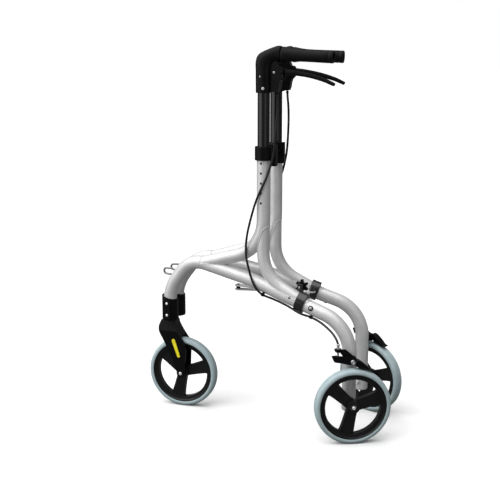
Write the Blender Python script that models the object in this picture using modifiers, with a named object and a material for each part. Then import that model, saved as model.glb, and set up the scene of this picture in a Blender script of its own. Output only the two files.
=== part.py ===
"""Three-wheeled folding rollator walker, folded as for storage.

Metres, +Z up. Front is -Y, the walker's left is +X, and the origin is on the floor at the middle of the
bounding box. Each side frame is drawn in its own flat frame: local X runs outward from the front hinge
axis, local Y runs rearward along the frame, and the same pieces are mirrored for the right side.
"""
import math

import bmesh
import bpy
from mathutils import Matrix, Vector

MM = 0.001

# Fold
HINGE_Y = -275.0          # vertical hinge and steering axis, on the centre plane
REST_ANGLE = 6.14         # half angle between a side frame and the centre plane, folded
OPEN_ANGLE = 31.6         # the same when open: the rear wheels then run straight ahead
TUBE_PLANE = 25.0         # from the hinge axis out to the plane of a side frame's tubes

# Tubes
MAIN_R, POST_R, BRACE_R, WALL = 17.5, 17.2, 16.0, 2.0
MAIN_PATH = [(9.3, 250, 0), (9.3, 333.7, 110), (73.2, 418.7, 65), (249.3, 378, 300), (511.3, 286.3, 100), (511.3, 74, 0)]
POST_Y = 278.8            # rearward from the hinge to the upright post
POST_TOP = 712.0
POST_PATH = [(POST_Y, POST_TOP, 0), (POST_Y, 459.2, 100), (104.3, 409.5, 0)]
BRACE_PATH = [(POST_Y, 525, 0), (POST_Y, 392.7, 100), (412.3, 320, 0)]
WELD_GAP = 0.8

# Wheels
TYRE_R, TYRE_HALF_W, RIM_R, RIM_INNER_R, HUB_R = 95.5, 14.4, 83.5, 70.0, 17.0
AXLE_R, BEARING_R = 4.0, 8.1
LEG_Y = 511.3
WHEEL_OUT = 41.1          # from the leg's axis to the wheel's middle, along the axle
FACETS = 30
TRAIL = 32.0              # front axle behind the steering axis

# Handles
HANDLE_R = 14.75
HOLE_PITCH = 24.7
TOE_IN = 3.5
GRIP_INSET = 7.0

# Rear brake, in the wheel's own frame with its origin on the leg's axis
BRAKE_PIVOT_Z = 206.6

# Fold links
LINK_Y, LINK_X, LINK_LENGTH = 382.3, -9.0, 194.0
TONGUE = (340.0, 346.0)   # height of the clamp tongues: the left link lies on one, the right link under the other

for found in list(bpy.data.objects):
    bpy.data.objects.remove(found, do_unlink=True)

PARTS = bpy.data.collections.new("rollator_walker")
bpy.context.scene.collection.children.link(PARTS)


def material(name, colour, roughness, metallic=0.0):
    made = bpy.data.materials.new(name)
    made.use_nodes = True
    shader = made.node_tree.nodes["Principled BSDF"]
    shader.inputs["Base Color"].default_value = (*colour, 1.0)
    shader.inputs["Roughness"].default_value = roughness
    shader.inputs["Metallic"].default_value = metallic
    return made


SILVER = material("pearl_silver_paint", (0.72, 0.72, 0.73), 0.3, 0.3)
BLACK = material("black_plastic", (0.02, 0.02, 0.022), 0.45)
BLACK_TUBE = material("black_anodised", (0.03, 0.03, 0.033), 0.35, 0.5)
GRIP = material("grip_rubber", (0.018, 0.018, 0.02), 0.7)
TYRE = material("grey_blue_tyre", (0.42, 0.52, 0.56), 0.6)
STEEL = material("zinc_steel", (0.75, 0.75, 0.76), 0.3, 0.9)
CABLE = material("cable_jacket", (0.02, 0.02, 0.02), 0.5)
YELLOW = material("yellow_reflector", (0.95, 0.75, 0.02), 0.3)


def empty(name, at=(0, 0, 0), turn=0.0, parent=None, mirror=False):
    made = bpy.data.objects.new(name, None)
    PARTS.objects.link(made)
    made.location = Vector(at) * MM
    made.rotation_euler = (0, 0, math.radians(turn))
    made.scale = (-1 if mirror else 1, 1, 1)
    made.parent = parent
    return made


def from_bmesh(name, shape):
    mesh = bpy.data.meshes.new(name)
    bmesh.ops.recalc_face_normals(shape, faces=shape.faces)
    shape.to_mesh(mesh)
    shape.free()
    made = bpy.data.objects.new(name, mesh)
    PARTS.objects.link(made)
    return made


def baked(obj):
    """The object with its modifiers or its curve turned into one welded mesh."""
    bpy.context.view_layer.update()
    graph = bpy.context.evaluated_depsgraph_get()
    mesh = bpy.data.meshes.new_from_object(obj.evaluated_get(graph))
    shape = bmesh.new()
    shape.from_mesh(mesh)
    bmesh.ops.remove_doubles(shape, verts=shape.verts, dist=1e-6)
    made = from_bmesh(obj.name + "_mesh", shape)
    made.matrix_world = obj.matrix_world.copy()
    name = obj.name
    bpy.data.objects.remove(obj, do_unlink=True)
    made.name = name
    return made


def moved(obj, matrix):
    obj.data.transform(matrix)
    return obj


def shift(x, y, z):
    return Matrix.Translation(Vector((x, y, z)) * MM)


def turn(degrees, axis):
    return Matrix.Rotation(math.radians(degrees), 4, axis)


def box(x, y, z, bevel=0.0):
    """A box between the limits given in millimetres for each axis."""
    shape = bmesh.new()
    bmesh.ops.create_cube(shape, size=1.0)
    size = Matrix.Diagonal([(b - a) * MM for a, b in (x, y, z)] + [1.0])
    centre = shift(sum(x) / 2, sum(y) / 2, sum(z) / 2)
    bmesh.ops.transform(shape, matrix=centre @ size, verts=shape.verts)
    made = from_bmesh("box", shape)
    if bevel:
        rounded = made.modifiers.new("edges", "BEVEL")
        rounded.width = bevel * MM
        rounded.segments = 1
        made = baked(made)
    return made


def cylinder(radius, low, high, axis="Z", at=(0, 0, 0), sides=16):
    """A cylinder along one axis from low to high, through the point given."""
    shape = bmesh.new()
    bmesh.ops.create_cone(
        shape, cap_ends=True, segments=sides, radius1=radius * MM, radius2=radius * MM, depth=(high - low) * MM
    )
    made = moved(from_bmesh("cylinder", shape), shift(0, 0, (low + high) / 2))
    if axis == "X":
        moved(made, turn(90, "Y"))
    if axis == "Y":
        moved(made, turn(-90, "X"))
    return moved(made, shift(*at))


def turned(profile, steps=32):
    """A solid of revolution about local X. The profile is (radius, along) pairs, running from high to low outside."""
    shape = bmesh.new()
    points = [shape.verts.new((radius * MM, 0, along * MM)) for radius, along in profile]
    closed = profile[0][0] > 0.001
    for first, second in zip(points, points[1:] + (points[:1] if closed else [])):
        shape.edges.new((first, second))
    mesh = bpy.data.meshes.new("profile")
    shape.to_mesh(mesh)
    shape.free()
    made = bpy.data.objects.new("turned", mesh)
    PARTS.objects.link(made)
    screw = made.modifiers.new("turn", "SCREW")
    screw.steps = screw.render_steps = steps
    screw.use_merge_vertices = True
    screw.merge_threshold = 0.00001
    return moved(baked(made), turn(90, "Y"))


def plate(outline, low, high, plane="YZ"):
    """A flat outline given thickness. Plane YZ is extruded along X, and plane XY along Z."""
    curve = bpy.data.curves.new("plate", "CURVE")
    curve.dimensions = "2D"
    curve.fill_mode = "BOTH"
    curve.extrude = (high - low) / 2 * MM
    spline = curve.splines.new("POLY")
    spline.points.add(len(outline) - 1)
    for point, (a, b) in zip(spline.points, outline):
        point.co = (a * MM, b * MM, 0, 1)
    spline.use_cyclic_u = True
    made = bpy.data.objects.new("plate", curve)
    PARTS.objects.link(made)
    made = moved(baked(made), shift(0, 0, (low + high) / 2))
    if plane == "YZ":
        moved(made, Matrix(((0, 0, 1, 0), (1, 0, 0, 0), (0, 1, 0, 0), (0, 0, 0, 1))))
    return made


def rounded_path(corners, step=15.5):
    """Points along straight runs joined by arcs. A corner is (y, z, bend radius) in millimetres."""
    points = [Vector(corners[0][:2])]
    for before, (y, z, radius), after in zip(corners, corners[1:], corners[2:]):
        corner = Vector((y, z))
        to_start = (Vector(before[:2]) - corner).normalized()
        to_end = (Vector(after[:2]) - corner).normalized()
        sweep = math.pi - to_start.angle(to_end)
        reach = radius * math.tan(sweep / 2)
        centre = corner + (to_start + to_end).normalized() * (radius / math.cos(sweep / 2))
        start = corner + to_start * reach - centre
        side = 1 if start.x * (corner + to_end * reach - centre).y > start.y * (corner + to_end * reach - centre).x else -1
        count = max(2, round(math.degrees(sweep) / step))
        for i in range(count + 1):
            angle = side * sweep * i / count
            points.append(
                centre
                + Vector((start.x * math.cos(angle) - start.y * math.sin(angle), start.x * math.sin(angle) + start.y * math.cos(angle)))
            )
    points.append(Vector(corners[-1][:2]))
    return points


def pipe(points, radius, resolution=4, name="pipe"):
    """A round bar along 3-D points in millimetres."""
    curve = bpy.data.curves.new(name, "CURVE")
    curve.dimensions = "3D"
    curve.bevel_depth = radius * MM
    curve.bevel_resolution = resolution
    curve.use_fill_caps = True
    spline = curve.splines.new("POLY")
    spline.points.add(len(points) - 1)
    for point, place in zip(spline.points, points):
        point.co = (*(Vector(place) * MM), 1)
    made = bpy.data.objects.new(name, curve)
    PARTS.objects.link(made)
    return baked(made)


def smooth_points(through, count):
    """Evenly spaced points on a smooth curve through the ones given."""
    through = [Vector(p) for p in through]
    padded = [2 * through[0] - through[1], *through, 2 * through[-1] - through[-2]]
    fine = []
    for a, b, c, d in zip(padded, padded[1:], padded[2:], padded[3:]):
        for i in range(12):
            t = i / 12
            fine.append(
                0.5 * (2 * b + (c - a) * t + (2 * a - 5 * b + 4 * c - d) * t * t + (3 * b - a - 3 * c + d) * t**3)
            )
    fine.append(through[-1])
    lengths = [0.0]
    for first, second in zip(fine, fine[1:]):
        lengths.append(lengths[-1] + (second - first).length)
    spaced, at = [], 0
    for i in range(count):
        want = lengths[-1] * i / (count - 1)
        while at < len(fine) - 2 and lengths[at + 1] < want:
            at += 1
        share = (want - lengths[at]) / (lengths[at + 1] - lengths[at])
        spaced.append(fine[at].lerp(fine[at + 1], min(1.0, share)))
    return spaced


def frame_tube(corners, radius, resolution=4):
    """A bent bar in the plane of a side frame's tubes."""
    return pipe([(TUBE_PLANE, p.x, p.y) for p in rounded_path(corners)], radius, resolution)


def longer(corners, first, last):
    """The same path with its two ends carried on by these lengths."""
    made = list(corners)
    for index, inner, reach in ((0, 1, first), (-1, -2, last)):
        end, before = Vector(made[index][:2]), Vector(made[inner][:2])
        end = end + (end - before).normalized() * reach
        made[index] = (end.x, end.y, 0)
    return made


def boolean(obj, other, operation="DIFFERENCE", keep=False):
    changed = obj.modifiers.new("cut", "BOOLEAN")
    changed.operation = operation
    changed.solver = "EXACT"
    changed.object = other
    obj = baked(obj)
    if not keep:
        bpy.data.objects.remove(other, do_unlink=True)
    return obj


def cut(obj, *others, keep=False):
    for other in others:
        obj = boolean(obj, other, "DIFFERENCE", keep)
    return obj


def join(obj, *others):
    for other in others:
        obj = boolean(obj, other, "UNION")
    return obj


def node(obj, name, look, parent=None, pivot=(0, 0, 0)):
    """Names the piece, gives it its material and sets its origin on the pivot, in the parent's frame."""
    obj.data.transform(shift(*pivot).inverted())
    obj.location = Vector(pivot) * MM
    obj.parent = parent
    obj.name = obj.data.name = name
    obj.data.materials.clear()
    obj.data.materials.append(look)
    obj.data.shade_smooth()
    obj.data.set_sharp_from_angle(angle=math.radians(35))
    return obj


def copied(obj, name, parent):
    made = bpy.data.objects.new(name, obj.data)
    PARTS.objects.link(made)
    made.location, made.rotation_euler = obj.location, obj.rotation_euler
    made.parent = parent
    return made


# Side frames, with the right one's empties behind a mirror on the centre plane
MIRROR = empty("mirror_plane", mirror=True)
FRAMES, WHEEL_FRAMES, HANDLES = {}, {}, {}
for side, root in (("left", None), ("right", MIRROR)):
    FRAMES[side] = empty(side + "_frame_pivot", (0, HINGE_Y, 0), -REST_ANGLE, root)
    WHEEL_FRAMES[side] = empty(side + "_wheel_frame", (TUBE_PLANE, LEG_Y, 0), OPEN_ANGLE, FRAMES[side])
    HANDLES[side] = empty(side + "_handle_frame", (TUBE_PLANE, POST_Y, 0), TOE_IN, FRAMES[side])


def both(obj, name, look, parents, pivot=(0, 0, 0)):
    """The left piece and its mirror image on the right."""
    left = node(obj, "left_" + name, look, parents["left"], pivot)
    return left, copied(left, "right_" + name, parents["right"])


# Frame tubes
main_bar = frame_tube(MAIN_PATH, MAIN_R)
main_room = frame_tube(longer(MAIN_PATH, 5, 5), MAIN_R + 0.35)
main_weld = frame_tube(MAIN_PATH, MAIN_R + WELD_GAP)
post_weld = frame_tube(POST_PATH, POST_R + WELD_GAP)
brace_room = frame_tube(BRACE_PATH, BRACE_R + 0.35)

main_tube = cut(main_bar, frame_tube(longer(MAIN_PATH, 8, 8), MAIN_R - WALL, 2))
axle_hole = moved(cylinder(AXLE_R + 0.3, -30, 30, "X", sides=12), shift(TUBE_PLANE, LEG_Y, TYRE_R) @ turn(OPEN_ANGLE, "Z"))
main_tube = cut(main_tube, axle_hole)
both(main_tube, "main_tube", SILVER, FRAMES)

post = cut(frame_tube(POST_PATH, POST_R), main_weld, keep=True)
post = cut(post, frame_tube(longer(POST_PATH, 8, 0), POST_R - 1.6, 4))
for i in range(5):
    post = cut(post, cylinder(3.0, 36, 50, "X", (0, POST_Y, 678 - HOLE_PITCH * i), 8))
both(post, "post_tube", SILVER, FRAMES)

brace = cut(frame_tube(BRACE_PATH, BRACE_R), main_weld, post_weld)
brace = cut(brace, frame_tube(longer(BRACE_PATH, 20, 5), BRACE_R - WALL, 2))
both(brace, "brace_tube", SILVER, FRAMES)


# Front sockets, hinged on one pin by knuckles that pass between each other
def socket(knuckles, gaps):
    body = cylinder(21.5, 246.8, 316, at=(TUBE_PLANE, 9.3, 0), sides=20)
    for low, high in gaps:
        body = cut(body, cylinder(8.1, low - 0.3, high + 0.3))
    for low, high in knuckles:
        body = join(body, cylinder(7.7, low, high), box((0.5, 12), (-6.5, 6.5), (low, high)))
    body = cut(body, main_room, keep=True)
    return cut(body, cylinder(3.9, 240, 320), cylinder(8.3, 301.2, 320))


LEFT_KNUCKLES, RIGHT_KNUCKLES = [(250, 262.7), (275.6, 288.2)], [(263, 275.3), (288.5, 301)]
node(socket(LEFT_KNUCKLES, RIGHT_KNUCKLES), "left_socket_bracket", BLACK, FRAMES["left"])
node(socket(RIGHT_KNUCKLES, LEFT_KNUCKLES), "right_socket_bracket", BLACK, FRAMES["right"])

# Head: the pin that both frames and the fork turn on
head = empty("head_axis", (0, HINGE_Y, 0))
node(join(cylinder(3.6, 197, 304), cylinder(8, 301.5, 307, sides=20)), "hinge_pin", STEEL, head)
node(cut(cylinder(7.2, 197.5, 203.5, sides=6), cylinder(3.9, 190, 210)), "hinge_pin_nut", STEEL, head)
node(cut(cylinder(19, 240.8, 246.3, sides=24), cylinder(3.9, 230, 250)), "head_plate", BLACK, head)

# Front fork
FRONT_AXLE = (0, TRAIL, TYRE_R)
fork_outline = [(-26, 240), (-31, 222), (-28, 207), (-15, 182), (6, 140), (20, 103)]
fork_outline += [
    (TRAIL + 12 * math.cos(math.radians(a)), TYRE_R + 12 * math.sin(math.radians(a))) for a in (175, 215, 250, 290, 325, 5)
]
fork_outline += [(46, 140), (47, 169), (41, 185), (25, 210), (21, 240)]
fork = plate(fork_outline, -23.5, 23.5)
fork = cut(fork, cylinder(101, -17.5, 17.5, "X", FRONT_AXLE, 40), cylinder(AXLE_R + 0.3, -30, 30, "X", FRONT_AXLE, 12))
fork = cut(fork, cylinder(3.9, 180, 250), cylinder(9, 180, 204), cylinder(13.3, 233, 250, sides=20))
node(fork, "fork", BLACK, head)
node(cut(cylinder(13, 233.4, 240.4, sides=20), cylinder(3.9, 230, 250)), "steering_bearing", STEEL, head)
front_bolt = join(cylinder(AXLE_R, -24, 24, "X"), cylinder(8, 23.8, 27.4, "X"), cylinder(8, -27.4, -23.8, "X"))
node(moved(front_bolt, shift(*FRONT_AXLE)), "front_axle", STEEL, head, FRONT_AXLE)
for side, sign in (("left", 1), ("right", -1)):
    strip = plate([(8, 188), (13, 191), (18, 188), (32, 144), (29, 140.5), (25, 142)], *sorted((sign * 23.8, sign * 25.2)))
    node(strip, side + "_reflector", YELLOW, head)


# Wheels, each about its own local X axis
def tyre():
    """The tread's facets lie on the tyre's radius, one of them flat on the floor."""
    tread = TYRE_R / math.cos(math.pi / FACETS)
    profile = [(83.8, 13.2), (88, 14.4), (92.5, 13), (tread, 8), (tread, -8), (92.5, -13), (88, -14.4), (83.8, -13.2)]
    return moved(turned(profile, FACETS), turn(180 / FACETS, "X"))


def rim():
    ring = turned([(83.5, 12.6), (83.5, -12.6), (71, -11), (RIM_INNER_R, -9), (RIM_INNER_R, 9), (71, 11)], FACETS)
    moved(ring, turn(180 / FACETS, "X"))
    hub = cylinder(HUB_R, -13.5, 13.5, "X", sides=16)
    for i in range(3):
        spoke = plate([(8, 14), (8, -14), (73, -18.5), (73, 18.5)], -7, 7)
        hub = join(hub, moved(spoke, turn(17 + 120 * i, "X")))
    return cut(join(ring, hub), cylinder(BEARING_R + 0.3, -20, 20, "X"))


def bearing():
    return cut(cylinder(BEARING_R, -14, 14, "X"), cylinder(AXLE_R + 0.3, -20, 20, "X"))


wheel_at = empty("front_wheel_axis", (0, HINGE_Y + TRAIL, TYRE_R))
hubs = {side: empty(side + "_wheel_axis", (WHEEL_OUT, 0, TYRE_R), 0, WHEEL_FRAMES[side]) for side in WHEEL_FRAMES}
for name, shape, look in (("tyre", tyre(), TYRE), ("rim", rim(), BLACK), ("wheel_bearing", bearing(), STEEL)):
    node(shape, "front_" + name, look, wheel_at)
    for side in hubs:
        copied(bpy.data.objects["front_" + name], f"{side}_rear_{name}", hubs[side])

axle = join(
    cylinder(AXLE_R, -20, 57, "X"),
    cylinder(8, 18.2, 26.7, "X"),
    cylinder(7.5, 55.5, 60, "X"),
    cylinder(8, -23, -18.2, "X"),
)
both(moved(axle, shift(0, 0, TYRE_R)), "rear_axle", STEEL, WHEEL_FRAMES)

# Rear brake bracket on the leg, and the arm with its pad
leg_room = cylinder(MAIN_R + 0.35, 150, 260)
ARM_PIVOT = (0, 0, BRAKE_PIVOT_Z)
bracket = plate([(-43, 237), (-17, 237), (8, 214), (13, 206), (11, 197.5), (-9, 197.5), (-16, 208), (-32, 229), (-43, 231)], 27, 31)
bracket = join(bracket, box((10, 29), (-12, 9), (197.5, 216)), box((19, 31), (-43, -26), (232, 237)))
bracket = cut(bracket, leg_room, cylinder(2.0, 225, 245, at=(25, -35, 0), sides=8))
bracket = join(bracket, cylinder(2.8, 28, 36.8, "X", ARM_PIVOT, 12))
both(bracket, "brake_bracket", BLACK, WHEEL_FRAMES)

wheel_line = (0, 0, TYRE_R)
arm = plate([(-52, 221), (-46, 208), (-12, 199.5), (9, 199), (13, 206), (10, 216), (-6, 219), (-44, 223)], 31.4, 36)
shoe = cut(box((32, 51), (6, 42), (170, 214)), cylinder(103, 20, 60, "X", wheel_line, 48))
shoe = boolean(shoe, cylinder(109, 20, 60, "X", wheel_line, 48), "INTERSECT")
arm = cut(join(arm, shoe), cylinder(103, 20, 60, "X", wheel_line, 48), cylinder(3.1, 20, 60, "X", ARM_PIVOT, 12))
both(arm, "brake_arm", BLACK, WHEEL_FRAMES, ARM_PIVOT)
pad = cut(box((34, 49), (12, 38), (170, 214)), cylinder(98.3, 20, 60, "X", wheel_line, 64))
pad = boolean(pad, cylinder(102.4, 20, 60, "X", wheel_line, 64), "INTERSECT")
both(pad, "brake_pad", BLACK, WHEEL_FRAMES, ARM_PIVOT)

# Clamp round the main tube where the fold links hang, and its star knob on the left
CLAMP_AT, SLOPE = (TUBE_PLANE, LINK_Y, 331.8), -19.3


def clamp(with_ear):
    body = moved(cylinder(21.3, -13, 13, "Y", sides=24), shift(*CLAMP_AT) @ turn(SLOPE, "X"))
    tongue = join(box((LINK_X, 12), (LINK_Y - 8, LINK_Y + 8), TONGUE), cylinder(8, *TONGUE, at=(LINK_X, LINK_Y, 0)))
    body = join(body, tongue)
    if with_ear:
        body = join(body, box((12, 17), (368, 382), (345, 377), 1.5))
    body = cut(body, main_room, brace_room, keep=True)
    body = join(body, cylinder(3.0, TONGUE[0] - 5.5, TONGUE[1] + 5, at=(LINK_X, LINK_Y, 0), sides=12))
    return cut(body, cylinder(3.4, 5, 30, "X", KNOB_AT, 12)) if with_ear else body


KNOB_AT = (0, 374.5, 369)
node(clamp(True), "left_fold_clamp", BLACK, FRAMES["left"])
node(clamp(False), "right_fold_clamp", BLACK, FRAMES["right"])
star = []
for i in range(10):
    radius = 17.0 if i % 2 == 0 else 8.5
    angle = math.radians(-90 + 36 * i)
    for nudge in (-0.16, 0.16) if i % 2 == 0 else (0,):
        star.append((374.5 + radius * math.cos(angle + nudge), 369 + radius * math.sin(angle + nudge)))
knob = join(plate(star, -5, 5), cylinder(7, 4, 8, "X", KNOB_AT), cylinder(3.0, 6, 21, "X", KNOB_AT, 12))
node(knob, "star_knob", BLACK, FRAMES["left"], KNOB_AT)

# Fold links: flat bars from the clamps to one pivot on the centre plane
rest = math.radians(REST_ANGLE)
link_x = LINK_Y * math.sin(rest) + LINK_X * math.cos(rest)
link_y = HINGE_Y + LINK_Y * math.cos(rest) - LINK_X * math.sin(rest)
lean = math.degrees(math.asin(link_x / LINK_LENGTH))


def link(low, high):
    """A bar forward from its eye at the origin, along -Y."""
    bar = box((-8, 8), (-LINK_LENGTH, 0), (low, high))
    bar = join(bar, cylinder(9, low, high, sides=20), cylinder(9, low, high, at=(0, -LINK_LENGTH, 0), sides=20))
    return cut(bar, cylinder(3.5, 300, 370), cylinder(3.5, 300, 370, at=(0, -LINK_LENGTH, 0)))


left_eye = empty("left_link_axis", (link_x, link_y, 0), -lean)
right_eye = empty("right_link_axis", (link_x, link_y, 0), -lean, MIRROR)
low, high = TONGUE
node(link(high + 0.4, high + 4.4), "left_fold_link", STEEL, left_eye)
node(link(low - 4.4, low - 0.4), "right_fold_link", STEEL, right_eye)
pin = join(cylinder(3.1, low + 0.2, high + 5, sides=12), cylinder(6, high + 4.7, high + 7), cylinder(5.5, low + 0.2, high + 0.1))
node(moved(pin, shift(0, -LINK_LENGTH, 0)), "link_pin", STEEL, left_eye, (0, -LINK_LENGTH, 0))

# Height collar with its spring button, on the inboard side
collar = join(
    cylinder(22, 685, 719, at=(TUBE_PLANE, POST_Y, 0), sides=24),
    box((-6, 16), (POST_Y - 2, POST_Y + 22), (669, 728), 1.5),
)
collar = cut(
    collar,
    cylinder(POST_R + 0.35, 660, POST_TOP + 0.3, at=(TUBE_PLANE, POST_Y, 0)),
    cylinder(HANDLE_R + 0.5, 670, 740, at=(TUBE_PLANE, POST_Y, 0)),
    cylinder(5.3, -20, -1, "X", (0, POST_Y + 9, 700), 12),
)
both(collar, "height_collar", BLACK, FRAMES)
button = join(cylinder(4.8, -10, -1.5, "X", sides=12), cylinder(7, -14, -9.8, "X"))
both(moved(button, shift(0, POST_Y + 9, 700)), "height_button", BLACK, FRAMES, (-6, POST_Y + 9, 700))

# Handles, in a frame that starts on the post's axis and toes in a little
handle_tube = cut(cylinder(HANDLE_R, 640, 905), cylinder(HANDLE_R - 1.8, 630, 915, sides=12))
both(handle_tube, "handle_tube", BLACK_TUBE, HANDLES)


def elbow(swell):
    route = [(p.x, p.y) for p in rounded_path([(0, 849, 0), (0, 941.5, 32), (43, 941.5, 0)], 15)]
    inset = [(-GRIP_INSET * min(1.0, max(0.0, (z - 905) / 36.0)), y, z) for y, z in route]
    return pipe(inset, 19.5 + swell, 4)


body = cut(elbow(0), cylinder(HANDLE_R + 0.35, 840, 905.4))
both(body, "handle_elbow", BLACK, HANDLES)
grip = turned([(0, 173), (12.5, 173), (15.2, 171), (14.8, 125), (14.6, 90), (16, 68), (18.8, 50), (18.2, 43.8), (0, 43.8)], 16)
grip = moved(grip, shift(0, 0, 0) @ turn(90, "Z"))
grip = cut(grip, cylinder(11, 159, 177, "Y", sides=12))
both(moved(grip, shift(-GRIP_INSET, 0, 942) @ turn(-2.5, "X")), "grip", GRIP, HANDLES)

LEVER_PIVOT = (-GRIP_INSET, 45.5, 898)
housing = box((-GRIP_INSET - 12, -GRIP_INSET + 12), (8, 38), (857, 930), 3)
for sign in (-1, 1):
    ear = [-GRIP_INSET + sign * 7.4, -GRIP_INSET + sign * 12]
    housing = join(housing, box(sorted(ear), (34, 51), (884, 911), 1))
housing = join(housing, cylinder(5, 852, 860, at=(-GRIP_INSET, 30, 0), sides=12))
housing = cut(housing, elbow(0.4), cylinder(HANDLE_R + 6, 840, 925))
housing = cut(housing, cylinder(3.3, -40, 40, "X", LEVER_PIVOT, 12), cylinder(1.8, 840, 862, at=(-GRIP_INSET, 30, 0), sides=8))
both(housing, "lever_housing", BLACK, HANDLES)
lever_pin = join(cylinder(3, -13, 13, "X", sides=12), cylinder(4.6, 12.3, 14.2, "X"), cylinder(4.6, -14.2, -12.3, "X"))
both(moved(lever_pin, shift(*LEVER_PIVOT)), "lever_pin", STEEL, HANDLES)
top = [(39.5, 902), (50, 908), (66, 907), (90, 902.5), (120, 895), (150, 885), (174, 874.5)]
under = [(177, 868.5), (172, 866), (148, 876), (118, 884), (90, 888), (70, 888.5), (56, 886), (44, 889)]
lever = cut(plate(top + under, -GRIP_INSET - 6.8, -GRIP_INSET + 6.8), cylinder(3.4, -40, 40, "X", LEVER_PIVOT, 12))
both(lever, "brake_lever", BLACK, HANDLES, LEVER_PIVOT)

# Brake cables, from each lever housing to the adjuster on each brake bracket
out = TUBE_PLANE + 21
cable_route = [
    (TUBE_PLANE - 9, 309.3, 851.2), (14.5, 312, 820), (22.5, 311.3, 780), (27.3, 309.4, 737), (30, 306.5, 700), (34, 302, 676),
    (41.5, 293, 643), (out, 280, 613), (out, 264, 575), (out, 248, 519), (out, 241.5, 485), (out, 240, 459),
    (out, 241.5, 438), (out, 247.3, 413), (out, 256, 385), (out - 1, 267.6, 362), (out - 5, 284, 346.5), (out - 11, 312, 335),
    (out - 10.5, 346, 322.5), (out - 8.5, 385, 304.8), (out - 10, 412.5, 298.5), (out - 6, 442, 289), (out + 5, 470.5, 275),
    (out + 13, 486, 262), (out + 18, 493.6, 249), (out + 18.6, 494.6, 239),
]
cable = pipe(smooth_points(cable_route, 34), 2.6, 2)
both(cable, "brake_cable", CABLE, FRAMES)

# Wire hooks for a basket on the front of the main tubes
hook = [(TUBE_PLANE - 12, 12, 366), (TUBE_PLANE - 12, -4, 375), (TUBE_PLANE - 10, -9.5, 384), (TUBE_PLANE, -11, 387)]
hook += [(2 * TUBE_PLANE - x, y, z) for x, y, z in reversed(hook[:-1])]
both(pipe(hook, 1.6, 2), "basket_hook", STEEL, FRAMES)

for spare in (main_room, brace_room):
    bpy.data.objects.remove(spare, do_unlink=True)
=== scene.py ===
"""Looks of the folded three-wheeled walker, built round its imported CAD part.

Shapes are drawn in millimetres in the part's own local frames (side frame, rear wheel, handle, head)
and placed in metres. Each side's pieces are drawn once and mirrored.
"""
import math

import bmesh
import bpy
import numpy as np
from mathutils import Matrix, Vector, noise


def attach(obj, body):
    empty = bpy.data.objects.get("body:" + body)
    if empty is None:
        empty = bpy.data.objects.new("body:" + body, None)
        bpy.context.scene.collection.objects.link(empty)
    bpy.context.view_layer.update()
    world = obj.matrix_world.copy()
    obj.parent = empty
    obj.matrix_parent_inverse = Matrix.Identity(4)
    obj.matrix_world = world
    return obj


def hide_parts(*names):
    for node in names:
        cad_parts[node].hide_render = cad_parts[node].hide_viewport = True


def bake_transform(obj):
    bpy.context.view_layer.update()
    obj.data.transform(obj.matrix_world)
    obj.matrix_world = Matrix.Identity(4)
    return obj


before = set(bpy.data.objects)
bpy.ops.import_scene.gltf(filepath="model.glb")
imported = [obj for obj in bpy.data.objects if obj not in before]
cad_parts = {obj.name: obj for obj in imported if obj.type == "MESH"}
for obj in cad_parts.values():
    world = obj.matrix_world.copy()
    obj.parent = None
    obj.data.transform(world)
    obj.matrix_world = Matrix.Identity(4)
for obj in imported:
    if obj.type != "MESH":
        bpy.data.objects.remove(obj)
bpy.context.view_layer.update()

SIDES = ("left", "right")


# Placement, as in the part

def shift(x, y, z):
    return Matrix.Translation((x, y, z))


def turn(degrees, axis):
    return Matrix.Rotation(math.radians(degrees), 4, axis)


HINGE_Y = -275
FOLDED, OPEN = 6.14, 31.6  # degrees of a side frame from the centre plane
TUBE_X = 25  # the plane of a side frame's tubes, outboard of its hinge
SOCKET_Y, POST_Y, LEG_Y = 9.3, 278.8, 511.3
WHEEL_R = 95.5
WHEEL_X = 41.1  # middle of a rear wheel, outboard of its leg
TOE_IN = 3.5  # degrees of a handle, against its frame
INBOARD = 7  # grip and lever, from the handle tube's axis

METRES = Matrix.Scale(0.001, 4)
MIRROR = {"left": Matrix.Identity(4), "right": Matrix.Diagonal((-1, 1, 1, 1))}
HEAD = shift(0, HINGE_Y, 0)
FRAME = HEAD @ turn(-FOLDED, "Z")
WHEEL = FRAME @ shift(TUBE_X, LEG_Y, 0) @ turn(OPEN, "Z")
HANDLE = FRAME @ shift(TUBE_X, POST_Y, 0) @ turn(TOE_IN, "Z")
FRONT_WHEEL = shift(0, -243, WHEEL_R)
AXLE = WHEEL @ shift(0, 0, WHEEL_R)
REAR_WHEEL = WHEEL @ shift(WHEEL_X, 0, WHEEL_R)
ALONG = {"X": Matrix.Identity(4), "Y": turn(90, "Z"), "Z": turn(-90, "Y")}

# Corners of each tube in its plane: y, z and the radius of the bend
MAIN_R, POST_R, BRACE_R = 17.5, 17.2, 16.0
MAIN = [
    (SOCKET_Y, 250, 0), (SOCKET_Y, 333.7, 110), (73.2, 418.7, 65), (249.3, 378, 300),
    (LEG_Y, 286.3, 100), (LEG_Y, 74, 0),
]
POST = [(POST_Y, 712, 0), (POST_Y, 459.2, 100), (104.3, 409.5, 0)]
BRACE = [(POST_Y, 525, 0), (POST_Y, 392.7, 100), (412.3, 320, 0)]


# Lines and outlines

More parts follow.
